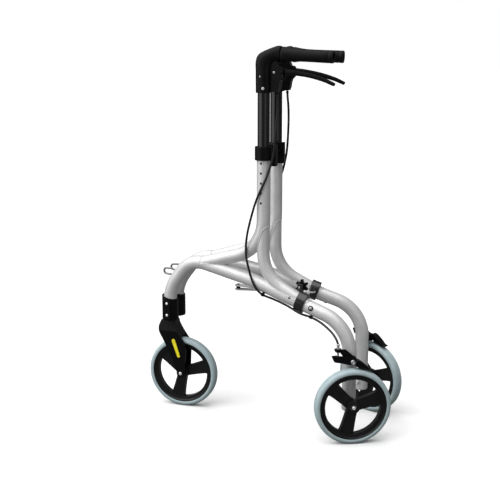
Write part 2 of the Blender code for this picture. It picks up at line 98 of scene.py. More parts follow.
def bent(corners):
    """Points (y, z) along straight runs joined by arcs."""
    point_every, run_length = 3.0, 14.0  # degrees of an arc, and millimetres
    points = [Vector(corners[0][:2])]

    def run_to(goal):
        start = points[-1]
        count = max(1, round((goal - start).length / run_length))
        for i in range(1, count + 1):
            points.append(start.lerp(goal, i / count))

    for before, (y, z, radius), after in zip(corners, corners[1:], corners[2:]):
        corner = Vector((y, z))
        to_start = (Vector(before[:2]) - corner).normalized()
        to_end = (Vector(after[:2]) - corner).normalized()
        bend = math.pi - to_start.angle(to_end)
        reach = radius * math.tan(bend / 2)
        centre = corner + (to_start + to_end).normalized() * (radius / math.cos(bend / 2))
        start = corner + to_start * reach - centre
        end = corner + to_end * reach - centre
        side = 1 if start.x * end.y > start.y * end.x else -1
        run_to(centre + start)
        count = max(2, round(math.degrees(bend) / point_every))
        for i in range(1, count + 1):
            a = side * bend * i / count
            c, s = math.cos(a), math.sin(a)
            points.append(centre + Vector((start.x * c - start.y * s, start.x * s + start.y * c)))
    run_to(Vector(corners[-1][:2]))
    return points


def in_frame(points):
    return [Vector((TUBE_X, p.x, p.y)) for p in points]


def smooth(through, per=8, closed=False):
    """Catmull-Rom points through the ones given."""
    through = [Vector(p) for p in through]
    if closed:
        padded = [through[-1], *through, through[0], through[1]]
    else:
        padded = [2 * through[0] - through[1], *through, 2 * through[-1] - through[-2]]
    fine = []
    for a, b, c, d in zip(padded, padded[1:], padded[2:], padded[3:]):
        for i in range(per):
            t = i / per
            square = (2 * a - 5 * b + 4 * c - d) * t * t
            cube = (3 * b - a - 3 * c + d) * t**3
            fine.append(0.5 * (2 * b + (c - a) * t + square + cube))
    return fine if closed else fine + [through[-1]]


def arc(centre, radius, first, last, count):
    angles = [math.radians(first + (last - first) * i / count) for i in range(count + 1)]
    return [(centre[0] + radius * math.cos(a), centre[1] + radius * math.sin(a)) for a in angles]


def squared(k, count, power):
    """Cosine and sine of one of count angles, pushed out towards a square's corners."""
    c, s = math.cos(math.tau * k / count), math.sin(math.tau * k / count)
    return math.copysign(abs(c) ** power, c), math.copysign(abs(s) ** power, s)


# Mesh building

def put(shape, matrix):
    bmesh.ops.transform(shape, matrix=matrix, verts=shape.verts)
    return shape


def aimed(shape, axis, at=(0, 0, 0)):
    """A shape drawn along X, turned to an axis through a point."""
    return put(shape, shift(*at) @ ALONG[axis])


def bridge(shape, rings):
    for near, far in zip(rings, rings[1:]):
        count = len(near)
        for i in range(count):
            shape.faces.new((near[i], near[(i + 1) % count], far[(i + 1) % count], far[i]))


def sweep(points, radius, sides=24, wall=0.0, closed=False):
    """A round bar along points, or a pipe where there is a wall. The radius may be one per point."""
    points = [Vector(p) for p in points]
    count = len(points)
    radii = radius if isinstance(radius, list) else [radius] * count
    normal, outer, inner = None, [], []
    shape = bmesh.new()
    for i, point in enumerate(points):
        before = points[i - 1] if closed or i else points[0]
        after = points[(i + 1) % count] if closed or i < count - 1 else points[-1]
        along = (after - before).normalized()
        normal = along.orthogonal() if normal is None else normal
        normal = (normal - along * normal.dot(along)).normalized()
        across = along.cross(normal)
        around = [
            normal * math.cos(math.tau * k / sides) + across * math.sin(math.tau * k / sides)
            for k in range(sides)
        ]
        outer.append([shape.verts.new(point + a * radii[i]) for a in around])
        if wall:
            inner.append([shape.verts.new(point + a * (radii[i] - wall)) for a in around])
    bridge(shape, outer)
    if closed:
        # Turn the last join by whole sides so that it closes without a twist.
        first, last = outer[0], outer[-1]
        best = min(range(sides), key=lambda k: (last[0].co - first[k].co).length)
        for i in range(sides):
            j = (i + 1) % sides
            shape.faces.new((last[i], last[j], first[(j + best) % sides], first[(i + best) % sides]))
    elif wall:
        bridge(shape, inner)
        for k in (0, -1):
            bridge(shape, [outer[k], inner[k]])
    else:
        shape.faces.new(outer[0])
        shape.faces.new(outer[-1])
    return shape


def lathe(profile, sides=48, ring=False):
    """Turned about local X from (along, radius) pairs. A ring joins its last pair to its first."""
    shape = bmesh.new()
    rings = []
    for along, radius in profile:
        if radius < 1e-6:
            rings.append([shape.verts.new((along, 0, 0))])
            continue
        angles = [math.tau * k / sides for k in range(sides)]
        rings.append([
            shape.verts.new((along, radius * math.cos(a), radius * math.sin(a))) for a in angles
        ])
    pairs = list(zip(rings, rings[1:])) + ([(rings[-1], rings[0])] if ring else [])
    for near, far in pairs:
        for i in range(sides):
            j = (i + 1) % sides
            if len(near) == 1 and len(far) > 1:
                shape.faces.new((near[0], far[j], far[i]))
            elif len(far) == 1 and len(near) > 1:
                shape.faces.new((near[i], near[j], far[0]))
            elif len(near) > 1:
                shape.faces.new((near[i], near[j], far[j], far[i]))
    return shape


PLANES = {
    "YZ": lambda a, b, c: (c, a, b),
    "XY": lambda a, b, c: (a, b, c),
    "XZ": lambda a, b, c: (a, c, b),
}


def prism(outline, low, high, plane="YZ"):
    """A flat outline given thickness: YZ along X, XY along Z, XZ along Y."""
    shape = bmesh.new()
    place = PLANES[plane]
    rings = [[shape.verts.new(place(a, b, c)) for a, b in outline] for c in (low, high)]
    bridge(shape, rings)
    for ring in rings:
        shape.faces.new(ring)
    return shape


def block(x, y, z):
    return prism([(y[0], z[0]), (y[1], z[0]), (y[1], z[1]), (y[0], z[1])], *x)


def rod(radius, low, high, axis="X", at=(0, 0, 0), sides=32, edge=0.6):
    """A turned bar with a small chamfer, along one axis through a point."""
    edge = min(edge, radius * 0.4, (high - low) * 0.4)
    profile = [
        (low, 0), (low, radius - edge), (low + edge, radius),
        (high - edge, radius), (high, radius - edge), (high, 0),
    ]
    return aimed(lathe(profile, sides), axis, at)


def hexagon(radius, low, high, axis="X", at=(0, 0, 0)):
    corners = [math.radians(60 * k) for k in range(6)]
    outline = [(radius * math.cos(a), radius * math.sin(a)) for a in corners]
    return aimed(prism(outline, low, high), axis, at)


def loft(sections):
    """A closed skin through rings with equal numbers of points."""
    shape = bmesh.new()
    rings = [[shape.verts.new(p) for p in ring] for ring in sections]
    bridge(shape, rings)
    shape.faces.new(rings[0])
    shape.faces.new(rings[-1])
    return shape


def together(*shapes):
    """Several closed shapes in one mesh."""
    mesh = bpy.data.meshes.new("joining")
    made = bmesh.new()
    for shape in shapes:
        bmesh.ops.recalc_face_normals(shape, faces=shape.faces)
        shape.to_mesh(mesh)
        shape.free()
        made.from_mesh(mesh)
    bpy.data.meshes.remove(mesh)
    return made


def screw_head(radius, height, socket=0.5, sides=32):
    """A domed head along +X from 0 with a round recess, whose radius is a share of the head's."""
    recess, floor = radius * socket, height * 0.35
    dome = [
        (height * math.sin(a), recess + (radius - recess) * math.cos(a))
        for a in (0.15, 0.45, 0.8, 1.15, 1.5)
    ]
    return lathe([(0, 0), (0, radius), *dome, (floor, recess * 0.86), (floor, 0)], sides)


def rivet(radius, height):
    """A domed rivet head along +X from 0."""
    dome = [(height * math.sin(a), radius * math.cos(a)) for a in (0.0, 0.35, 0.7, 1.05, 1.35)]
    return lathe([(-1, 0), (-1, radius * 0.96), *dome, (height, 0)], 28)


def coil(radius, wire, pitch, turns):
    """A helical spring along +X from 0."""
    per_turn = 18
    line = []
    for i in range(int(turns * per_turn) + 1):
        a = math.tau * i / per_turn
        line.append((pitch * i / per_turn, radius * math.cos(a), radius * math.sin(a)))
    return sweep(line, wire, 10)


# Tubes cut to meet each other, with the weld bead along each cut

def distance(point, line):
    """From a point to a run of points, as numpy arrays."""
    a, b = line[:-1], line[1:]
    run = b - a
    share = np.clip(((point - a) * run).sum(1) / (run * run).sum(1), 0, 1)
    return np.linalg.norm(point - (a + run * share[:, None]), axis=1).min()


def coped(path, radius, ends, wall=2.0, starts=None):
    """A tube whose last edge lies on the surface of another tube, and whose first may.

    Each other tube is its line and its radius. Returns the shape, its first edge and its last.
    """
    sides, rows = 48, 70
    step, halvings = 3.0, 7
    points = [np.array(p) for p in path]
    spans = [np.linalg.norm(b - a) for a, b in zip(points, points[1:])]
    lengths = np.concatenate([[0], np.cumsum(spans)])

    def along_at(k):
        k0, k1 = max(k - 1, 0), min(k + 1, len(points) - 1)
        v = points[k1] - points[k0]
        return v / np.linalg.norm(v)

    def at(s, angle, r):
        i = min(int(np.searchsorted(lengths, s, side="right")) - 1, len(points) - 2)
        t = (s - lengths[i]) / (lengths[i + 1] - lengths[i])
        place = points[i] + (points[i + 1] - points[i]) * t
        along = along_at(i) * (1 - t) + along_at(i + 1) * t
        along /= np.linalg.norm(along)
        out = np.array((1.0, 0, 0))
        return place + (out * math.cos(angle) + np.cross(along, out) * math.sin(angle)) * r

    def meets(angle, line, line_radius, s, going_in):
        """How far along one of the tube's sides it first goes into the other tube, or comes out."""
        def there(s):
            return (distance(at(s, angle, radius), line) < line_radius) == going_in

        while s < lengths[-1]:
            if there(s):
                low, high = s - step, s
                for _ in range(halvings):
                    middle = (low + high) / 2
                    if there(max(middle, 0)):
                        high = middle
                    else:
                        low = middle
                return max(high, 0.0)
            s += step
        return lengths[-1]

    shape = bmesh.new()
    first_edge, last_edge, outer, inner = [], [], [], []
    for k in range(sides):
        angle = math.tau * k / sides
        begin = meets(angle, *starts, 0.0, False) if starts else 0.0
        finish = meets(angle, *ends, begin + 2.0, True)
        first_edge.append(Vector(at(begin, angle, radius)))
        last_edge.append(Vector(at(finish, angle, radius)))
        run = [begin + (finish - begin) * j / rows for j in range(rows + 1)]
        outer.append([shape.verts.new(at(s, angle, radius)) for s in run])
        inner.append([shape.verts.new(at(s, angle, radius - wall)) for s in run])
    for k in range(sides):
        n = (k + 1) % sides
        for j in range(rows):
            shape.faces.new((outer[k][j], outer[n][j], outer[n][j + 1], outer[k][j + 1]))
            shape.faces.new((inner[k][j], inner[k][j + 1], inner[n][j + 1], inner[n][j]))
        for j in (0, rows):
            shape.faces.new((outer[k][j], inner[k][j], inner[n][j], outer[n][j]))
    return shape, first_edge, last_edge


def bead(edge):
    """A weld bead with its ripples, round a closed edge."""
    radius, spacing = 1.5, 0.9
    spaced = []
    for point in smooth(edge, 3, closed=True):
        if not spaced or (point - spaced[-1]).length > spacing:
            spaced.append(point)
    ripple = [
        radius * (1 + 0.16 * math.sin(i * 1.9) + 0.12 * noise.noise(p * 0.11))
        for i, p in enumerate(spaced)
    ]
    return sweep(spaced, ripple, 10, closed=True)


# Pieces

def made_mesh(name, shape, matrix, cuts, bevel, segments, angle):
    """The placed mesh, with its cutters taken away and its edges rounded. The shape itself is kept."""
    def to_object(label, source):
        source = source.copy()
        put(source, METRES @ matrix)
        bmesh.ops.remove_doubles(source, verts=source.verts, dist=1e-7)
        bmesh.ops.recalc_face_normals(source, faces=source.faces)
        mesh = bpy.data.meshes.new(label)
        source.to_mesh(mesh)
        source.free()
        obj = bpy.data.objects.new(label, mesh)
        bpy.context.scene.collection.objects.link(obj)
        return obj

    obj = to_object(name + "_draft", shape)
    cutters = []
    for cutter in cuts:
        cutters.append(to_object(name + "_cutter", cutter))
        step = obj.modifiers.new("cut", "BOOLEAN")
        step.operation = "DIFFERENCE"
        step.solver = "EXACT"
        step.object = cutters[-1]
    obj.data.shade_smooth()
    if bevel:
        step = obj.modifiers.new("edges", "BEVEL")
        step.width = bevel * 0.001
        step.segments = segments
        step.limit_method = "ANGLE"
        step.angle_limit = math.radians(angle)
        step.use_clamp_overlap = True
        step = obj.modifiers.new("normals", "WEIGHTED_NORMAL")
        step.keep_sharp = True
    else:
        obj.data.set_sharp_from_angle(angle=math.radians(angle))
    bpy.context.view_layer.update()
    mesh = bpy.data.meshes.new_from_object(obj.evaluated_get(bpy.context.evaluated_depsgraph_get()))
    for used in [obj, *cutters]:
        bpy.data.objects.remove(used, do_unlink=True)
    return mesh


def piece(name, shape, matrix, look, body, slot, nodes=(), cuts=(), bevel=0.0, segments=3, angle=32):
    mesh = made_mesh(name, shape, matrix, cuts, bevel, segments, angle)
    mesh.materials.clear()
    mesh.materials.append(look)
    mesh.name = name
    obj = bpy.data.objects.new(name, mesh)
    bpy.context.scene.collection.objects.link(obj)
    if body:
        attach(obj, body)
    if nodes:
        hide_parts(*nodes)
    return obj


def both(name, shape, matrix, look, body, slot, nodes=(), **more):
    return [
        piece(f"{side}_{name}", shape, MIRROR[side] @ matrix, look, f"{side}_{body}" if body else None,
              slot, [f"{side}_{n}" for n in nodes], **more)
        for side in SIDES
    ]


# Materials

def material(name, colour, second, rough, scale, grain, grain_scale=900.0, metallic=0.0, coat=0.0,
             wear=None, rough_swing=0.08, stretch=None, cells=0.0, specular=0.5):
    """A finish whose colour, roughness and bump vary over the surface, with wear on its edges."""
    made = bpy.data.materials.new(name)
    made.use_nodes = True
    tree = made.node_tree
    nodes, links = tree.nodes, tree.links
    shader = nodes["Principled BSDF"]
    shader.inputs["Metallic"].default_value = metallic
    shader.inputs["Coat Weight"].default_value = coat
    shader.inputs["Coat Roughness"].default_value = 0.08
    shader.inputs["Specular IOR Level"].default_value = specular
    where = nodes.new("ShaderNodeTexCoord")
    coordinates = where.outputs["Object"]
    if stretch:
        mapping = nodes.new("ShaderNodeMapping")
        mapping.inputs["Scale"].default_value = stretch
        links.new(coordinates, mapping.inputs["Vector"])
        coordinates = mapping.outputs["Vector"]

    def cloud(size, detail, rough_detail=0.55):
        texture = nodes.new("ShaderNodeTexNoise")
        texture.inputs["Scale"].default_value = size
        texture.inputs["Detail"].default_value = detail
        texture.inputs["Roughness"].default_value = rough_detail
        links.new(coordinates, texture.inputs["Vector"])
        return texture.outputs["Fac"]

    def ramp(source, low, high, first, last):
        chosen = nodes.new("ShaderNodeValToRGB")
        start, end = chosen.color_ramp.elements
        start.position, end.position = low, high
        start.color = (*first, 1)
        end.color = (*last, 1)
        links.new(source, chosen.inputs["Fac"])
        return chosen.outputs["Color"]

    tint = ramp(cloud(scale, 5), 0.35, 0.65, colour, second)
    if wear:
        edges = nodes.new("ShaderNodeNewGeometry")
        worn = nodes.new("ShaderNodeMath")
        worn.operation = "MULTIPLY"
        edge = ramp(edges.outputs["Pointiness"], 0.6, 0.75, (0, 0, 0), (1, 1, 1))
        patches = ramp(cloud(scale * 3.5, 6, 0.7), 0.45, 0.7, (0, 0, 0), (0.6, 0.6, 0.6))
        links.new(edge, worn.inputs[0])
        links.new(patches, worn.inputs[1])
        mix = nodes.new("ShaderNodeMix")
        mix.data_type = "RGBA"
        links.new(worn.outputs[0], mix.inputs["Factor"])
        links.new(tint, mix.inputs["A"])
        mix.inputs["B"].default_value = (*wear, 1)
        tint = mix.outputs["Result"]
    links.new(tint, shader.inputs["Base Color"])
    low, high = max(0.02, rough - rough_swing), rough + rough_swing
    swing = ramp(cloud(scale * 2.2, 6, 0.62), 0.3, 0.7, (low, low, low), (high, high, high))
    links.new(swing, shader.inputs["Roughness"])
    bump = nodes.new("ShaderNodeBump")
    bump.inputs["Strength"].default_value = 1.0
    bump.inputs["Distance"].default_value = grain
    if cells:
        pattern = nodes.new("ShaderNodeTexVoronoi")
        pattern.inputs["Scale"].default_value = cells
        links.new(coordinates, pattern.inputs["Vector"])
        links.new(pattern.outputs["Distance"], bump.inputs["Height"])
    else:
        links.new(cloud(grain_scale, 4, 0.6), bump.inputs["Height"])
    links.new(bump.outputs["Normal"], shader.inputs["Normal"])
    return made


PAINT = material(
    "pearl_paint", (0.66, 0.66, 0.665), (0.71, 0.71, 0.715), 0.4, 40, grain=0.000008, grain_scale=420,
    metallic=0.28, coat=0.12, rough_swing=0.04)
BLACK = material(
    "moulded_black", (0.0028, 0.0028, 0.003), (0.004, 0.004, 0.0042), 0.34, 70, grain=0.00004,
    grain_scale=1600, wear=(0.025, 0.025, 0.026), specular=0.11)
GLOSS = material(
    "gloss_black", (0.0025, 0.0025, 0.0027), (0.004, 0.004, 0.0042), 0.22, 70, grain=0.00002,
    grain_scale=900, wear=(0.03, 0.03, 0.031), specular=0.75, rough_swing=0.04)
RIM = material(
    "rim_black", (0.0035, 0.0035, 0.0037), (0.006, 0.006, 0.0062), 0.33, 50, grain=0.00005,
    grain_scale=1400, wear=(0.025, 0.025, 0.026), specular=0.3)
ANODISED = material(
    "black_anodised", (0.003, 0.003, 0.0033), (0.006, 0.006, 0.0063), 0.16, 90, grain=0.00002,
    grain_scale=300, stretch=(1, 1, 0.04), specular=0.5, rough_swing=0.04)
RUBBER = material(
    "grip_rubber", (0.004, 0.004, 0.0043), (0.007, 0.007, 0.0073), 0.5, 120, grain=0.0001,
    grain_scale=700, specular=0.12)
TYRE = material(
    "tyre_grey_blue", (0.38, 0.48, 0.505), (0.43, 0.53, 0.55), 0.5, 55, grain=0.00008,
    grain_scale=800, wear=(0.36, 0.44, 0.46))
STEEL = material(
    "zinc_steel", (0.5, 0.5, 0.51), (0.66, 0.66, 0.67), 0.28, 160, grain=0.00002, grain_scale=1200,
    metallic=1.0, wear=(0.85, 0.85, 0.86))
DARK_STEEL = material(
    "dull_steel", (0.2, 0.2, 0.205), (0.3, 0.3, 0.31), 0.36, 160, grain=0.00002, grain_scale=1200,
    metallic=0.9, wear=(0.5, 0.5, 0.51))
BRIGHT = material(
    "bright_bolt", (0.86, 0.86, 0.87), (0.93, 0.93, 0.94), 0.25, 200, grain=0.00001, grain_scale=900,
    metallic=0.3)
JACKET = material(
    "cable_jacket", (0.004, 0.004, 0.0042), (0.008, 0.008, 0.0082), 0.34, 150, grain=0.00003,
    grain_scale=1500, specular=0.4)
YELLOW = material(
    "yellow_reflector", (0.93, 0.80, 0.01), (0.98, 0.88, 0.03), 0.22, 90, grain=0.0002, coat=0.5,
    cells=700)
PAD = material(
    "pad_rubber", (0.006, 0.006, 0.0062), (0.012, 0.012, 0.0122), 0.7, 140, grain=0.00012,
    grain_scale=900, specular=0.2)


# Side frames

HOLE_TOP, HOLE_PITCH = 678, 24.7
SUNK = 0.3  # how far a coped tube reaches into the other tube's wall

main_line = in_frame(bent(MAIN))
main_array = np.array(main_line)
post_line = in_frame(bent(POST))
both("main_tube_paint", sweep(main_line, MAIN_R, 48, wall=2.0), FRAME, PAINT, "frame", "frame_paint",
     ["main_tube"])

post_shape, _, post_edge = coped(post_line, POST_R, (main_array, MAIN_R - SUNK), wall=1.6)
post_array = np.array(post_line)
holes = [rod(3.0, 36, 50, "X", (0, POST_Y, HOLE_TOP - HOLE_PITCH * i), 24, 0) for i in range(5)]
both("post_tube_paint", post_shape, FRAME, PAINT, "frame", "frame_paint", ["post_tube"], cuts=holes)
both("post_weld", bead(post_edge), FRAME, PAINT, "frame", "frame_paint")

brace_shape, brace_first, brace_last = coped(
    in_frame(bent(BRACE)), BRACE_R, (main_array, MAIN_R - SUNK), starts=(post_array, POST_R - SUNK)
)
both("brace_tube_paint", brace_shape, FRAME, PAINT, "frame", "frame_paint", ["brace_tube"])
both("brace_post_weld", bead(brace_first), FRAME, PAINT, "frame", "frame_paint")
both("brace_main_weld", bead(brace_last), FRAME, PAINT, "frame", "frame_paint")

# Plug in the foot of each leg
plug_profile = [(-3, 0), (-3, 14), (-2, 16.4), (0, 17.2), (0, 15.2), (8, 15.2), (8, 0)]
both("leg_plug", lathe(plug_profile, 40), FRAME @ shift(TUBE_X, LEG_Y, 73.6) @ turn(-90, "Y"), PAINT,
     "frame", "frame_paint")

# A rivet and a screw with its washer, on the outboard side of the main tube
rivet_at = shift(TUBE_X, 354.9, 341.1) @ turn(-19, "X") @ turn(-22, "Y")
both("tube_rivet", put(rivet(4.2, 1.5), shift(MAIN_R - 0.4, 0, 0)), FRAME @ rivet_at, BLACK, "frame",
     "black_plastic")
screw_at = shift(TUBE_X, 411.4, 319.3) @ turn(-22, "X") @ turn(-20, "Y")
washer = lathe([(-1, 0), (-1, 6.6), (1.2, 6.6), (1.8, 5.8), (1.8, 0)], 36)
both("clip_washer", put(washer, shift(MAIN_R - 0.2, 0, 0)), FRAME @ screw_at, BLACK, "frame",
     "black_plastic")
both("clip_screw", put(screw_head(3.9, 2.4, 0.45), shift(MAIN_R + 1.5, 0, 0)), FRAME @ screw_at, STEEL,
     "frame", "zinc_steel")

# Wire hook for a basket, an open ring against the arch
hook = [
    (TUBE_X, 16, 386), (TUBE_X, 8, 386.8),
    *[(TUBE_X, y, z) for y, z in arc((0.8, 379), 7.8, 84, 276, 10)],
    (TUBE_X, 8, 371), (TUBE_X, 14, 371),
]
both("basket_wire", sweep(smooth(hook, 4), 2.8, 14), FRAME, DARK_STEEL, "frame", "zinc_steel",
     ["basket_hook"])


# Front sockets, hinge pin and head

RIVET_FOOT = 22.2  # from the tube's axis, just under the face of the pad


def socket(knuckles):
    """A sleeve with a slanted top, a pad for two rivets, and the hinge knuckles from low to high."""
    sleeve = lathe([
        (246.8, 20.2), (247.2, 21.1), (248.4, 21.5), (256, 21.5), (307, 21.5), (314.6, 21.5),
        (315.7, 21.1), (316, 20.3), (316, 18.0), (246.8, 18.0),
    ], 56, ring=True)
    aimed(sleeve, "Z", (TUBE_X, SOCKET_Y, 0))
    for v in sleeve.verts:
        if v.co.z > 300:
            v.co.z -= 0.28 * (v.co.y + 12.2)
    pad = prism([(-11, 253), (11, 253), (11, 300), (-11, 304)], 16, 22.3)
    shapes = [sleeve, put(pad, shift(TUBE_X, SOCKET_Y, 0))]
    for low, high in knuckles:
        shapes.append(rod(7.7, low, high, "Z", (0, 0, 0), 36, 0.7))
        shapes.append(block((0.5, 11), (-6.5, 6.5), (low + 0.3, high - 0.3)))
    return together(*shapes)


KNUCKLES = {"left": [(250, 262.7), (275.6, 288.2)], "right": [(263, 275.3), (288.5, 301)]}
for side in SIDES:
    piece(side + "_socket_moulding", socket(KNUCKLES[side]), MIRROR[side] @ FRAME, BLACK,
          side + "_frame", "black_plastic", [side + "_socket_bracket"], bevel=0.9, angle=50)
for label, z in (("upper", 294.4), ("lower", 262.7)):
    both(f"socket_rivet_{label}",
         put(rivet(3.7, 1.9), shift(TUBE_X + RIVET_FOOT, SOCKET_Y + 1.2, z)), FRAME, BRIGHT, "frame",
         "zinc_steel")

hinge_bolt = together(
    rod(3.6, 197, 303, "Z", (0, 0, 0), 24, 0.4), aimed(screw_head(8, 5.2, 0.5, 40), "Z", (0, 0, 301.6))
)
piece("hinge_pin_bolt", hinge_bolt, HEAD, STEEL, "head", "zinc_steel", ["hinge_pin"])
locknut = together(hexagon(7.2, 197.5, 202, "Z"), rod(5.6, 201.5, 203.6, "Z", (0, 0, 0), 32, 0.8))
piece("hinge_pin_locknut", locknut, HEAD, STEEL, "head", "zinc_steel", ["hinge_pin_nut"], bevel=0.5)
plate_profile = [(240.8, 4), (240.8, 18.2), (241.6, 19), (245.2, 19), (246.3, 17.8), (246.3, 4)]
piece("head_washer", aimed(lathe(plate_profile, 56, ring=True), "Z"), HEAD, BLACK, "head",
      "black_plastic", ["head_plate"])
race_profile = [(233.4, 4), (233.4, 12.6), (233.9, 13), (240, 13), (240.4, 12.6), (240.4, 4)]
piece("head_bearing", aimed(lathe(race_profile, 48, ring=True), "Z"), HEAD, STEEL, "fork",
      "zinc_steel", ["steering_bearing"])

# Fork: a solid outline with room for the wheel and the bearing, and sloping shoulders
FORK_TIP = (32, WHEEL_R)
fork_front = smooth([(-25, 240), (-30.5, 224), (-28, 207), (-15, 182), (6, 140), (20.2, 101)], 6)
fork_back = smooth(
    [(44.2, 99), (46, 140), (47, 169), (40.5, 185), (25, 208), (17.5, 226), (15.6, 240)], 6)
fork_outline = [
    *[(p.x, p.y) for p in fork_front], *arc(FORK_TIP, 12, 178, 362, 14)[1:-1],
    *[(p.x, p.y) for p in fork_back],
]
wheel_room = rod(101, -17.5, 17.5, "X", (0, *FORK_TIP), 96, 0)
bearing_room = rod(13.2, 233, 250, "Z", (0, 0, 0), 40, 0)
shoulders = [
    prism([(s * 14.6, 241), (s * 30, 241), (s * 30, 208), (s * 23.9, 211)], -60, 80, "XZ")
    for s in (-1, 1)
]
piece("fork_moulding", prism(fork_outline, -23.5, 23.5), HEAD, BLACK, "fork", "black_plastic",
      ["fork"], cuts=[wheel_room, bearing_room, *shoulders], bevel=2.6, segments=4, angle=38)
front_axle = together(
    rod(4, -23.4, 23.4), put(screw_head(4.6, 3.4, 0.5), shift(24.2, 0, 0)),
    put(screw_head(4.6, 3.4, 0.5), shift(-24.2, 0, 0) @ turn(180, "Z")),
)
piece("front_axle_bolt", front_axle, FRONT_WHEEL, BRIGHT, "fork", "zinc_steel", ["front_axle"])
washers = together(
    rod(8, 23.3, 24.6, "X", (0, 0, 0), 40, 0.5), rod(8, -24.6, -23.3, "X", (0, 0, 0), 40, 0.5)
)
piece("front_axle_washers", washers, FRONT_WHEEL, BLACK, "fork", "black_plastic")


def reflector():
    """A tapered slot shape leaning back down the blade."""
    top, bottom = Vector((13, 186)), Vector((27.2, 144))
    lean = math.degrees(math.atan2(top.y - bottom.y, top.x - bottom.x))
    outline = arc(top, 5.0, lean - 90, lean + 90, 14) + arc(bottom, 4.0, lean + 90, lean + 270, 14)
    return prism(outline, 23.0, 25.1)


for side in SIDES:
    piece(side + "_reflector_strip", reflector(), MIRROR[side] @ HEAD, YELLOW, "fork", "reflector",
          [side + "_reflector"], bevel=0.7, angle=40)


# Wheels

SPOKES, FIRST_SPOKE = 3, 17  # how many, and the first one's angle in degrees


def tyre():
    half = [
        (0, WHEEL_R), (3.5, 95.45), (6.8, 95.2), (7.3, 94.5), (8.1, 94.4), (8.8, 94.9), (10.8, 93.9),
        (12.6, 92.1), (13.8, 89.6), (14.3, 87.2), (14.0, 85.2), (13.2, 83.7),
    ]
    return lathe([(-a, r) for a, r in reversed(half[1:])] + half, 120, ring=True)


def rim():
    half = [
        (12.4, 83.6), (13.0, 82.6), (12.9, 81.2), (11.6, 80.3), (10.4, 79.2), (9.6, 76.0),
        (9.5, 72.4), (8.9, 70.6), (7.6, 70.0),
    ]
    shapes = [lathe(half + [(-a, r) for a, r in reversed(half)], 120, ring=True)]
    edge = smooth([(9, 13), (20, 13.6), (40, 14.9), (58, 16.6), (66, 18.4), (72, 22.5)], 5)
    outline = [(p.x, -p.y) for p in edge] + [(p.x, p.y) for p in reversed(edge)]
    for i in range(SPOKES):
        spoke = prism(outline, -7, 7)
        flats = [f for f in spoke.faces if len(f.verts) > 4]
        bmesh.ops.recalc_face_normals(spoke, faces=spoke.faces)
        bmesh.ops.inset_region(spoke, faces=flats, thickness=3.6, depth=-0.9, use_even_offset=True)
        shapes.append(put(spoke, turn(FIRST_SPOKE + 360 // SPOKES * i, "X")))
    hub = lathe([
        (13.5, 8.4), (13.5, 14.6), (12.6, 16.2), (7, 17.4), (-7, 17.4), (-12.6, 16.2), (-13.5, 14.6),
        (-13.5, 8.4),
    ], 60, ring=True)
    return together(*shapes, hub)


def bearing():
    """An outer sleeve and an inner one round the axle, a little proud of the hub."""
    return together(
        lathe([(13.8, 5.6), (13.8, 7.9), (-13.8, 7.9), (-13.8, 5.6)], 36, ring=True),
        lathe([(13.9, 4.2), (13.9, 5.3), (-13.9, 5.3), (-13.9, 4.2)], 36, ring=True),
    )


WHEELS = (
    ("front", FRONT_WHEEL, "front_wheel"),
    ("left_rear", REAR_WHEEL, "left_wheel"),
    ("right_rear", MIRROR["right"] @ REAR_WHEEL, "right_wheel"),
)
for label, where, body in WHEELS:
    piece(label + "_tyre_tread", tyre(), where, TYRE, body, "tyre", [label + "_tyre"], angle=40)
    piece(label + "_rim_moulding", rim(), where, RIM, body, "black_plastic", [label + "_rim"],
          bevel=0.7, segments=2, angle=38)
    piece(label + "_wheel_race", bearing(), where, STEEL, body, "zinc_steel",
          [label + "_wheel_bearing"])

rear_axle = together(
    rod(4, -20, 56), put(screw_head(4.6, 3.4, 0.5), shift(56.4, 0, 0)), hexagon(7.5, -22.8, -18.4)
)
both("rear_axle_bolt", rear_axle, AXLE, BRIGHT, "frame", "zinc_steel", ["rear_axle"])
spacers = together(
    rod(7.8, 18.0, 26.9, "X", (0, 0, 0), 40), rod(7.2, 55.3, 56.6, "X", (0, 0, 0), 40, 0.4)
)
both("rear_axle_spacer", spacers, AXLE, BLACK, "frame", "black_plastic")


# Rear brakes

ARM_PIVOT_Z = 206.6
STOP_X, STOP_Y = 25, -35  # axis of the cable adjuster
WHEEL_CENTRE = (0, WHEEL_R)

bracket = together(
    prism([(-43, 237.2), (-17, 237), (8, 215), (13, 207), (11, 197.5), (-9, 197.5), (-16, 208),
           (-31, 229), (-43, 231.5)], 27, 31),
    block((8, 29), (-12, 9), (198, 216)),
    prism([(17.5, -43), (31, -43), (31, -26), (17.5, -26)], 232, 237, "XY"),
)
both("brake_bracket_moulding", bracket, WHEEL, BLACK, "frame", "black_plastic", ["brake_bracket"],
     cuts=[rod(17.9, 190, 225, "Z", (0, 0, 0), 48, 0)], bevel=0.9, angle=40)
arm = together(
    prism([(-52.5, 221.5), (-46.5, 208), (-12, 199.5), (9, 199), (13, 206), (10, 215.5), (-6, 219),
           (-43, 223)], 31.6, 36),
    prism([(-52.5, 221.5), (-46.5, 208), (-34, 205), (-38, 222.6)], 27.5, 38.5),
)
shoe_outline = [
    (6, 215), (14, 213), (24, 206), (34, 197), (42, 189), *arc(WHEEL_CENTRE, 103.4, 62, 88, 10),
]
both("brake_arm_moulding", together(arm, prism(shoe_outline, 32, 51)), WHEEL, BLACK, "brake_arm",
     "black_plastic", ["brake_arm"], bevel=0.9, angle=40)
pad_outline = arc(WHEEL_CENTRE, 102.6, 83, 67, 10) + arc(WHEEL_CENTRE, 98.4, 67, 83, 10)
both("brake_pad_block", prism(pad_outline, 34, 49), WHEEL, PAD, "brake_arm", "brake_pad",
     ["brake_pad"], bevel=0.5, angle=40)
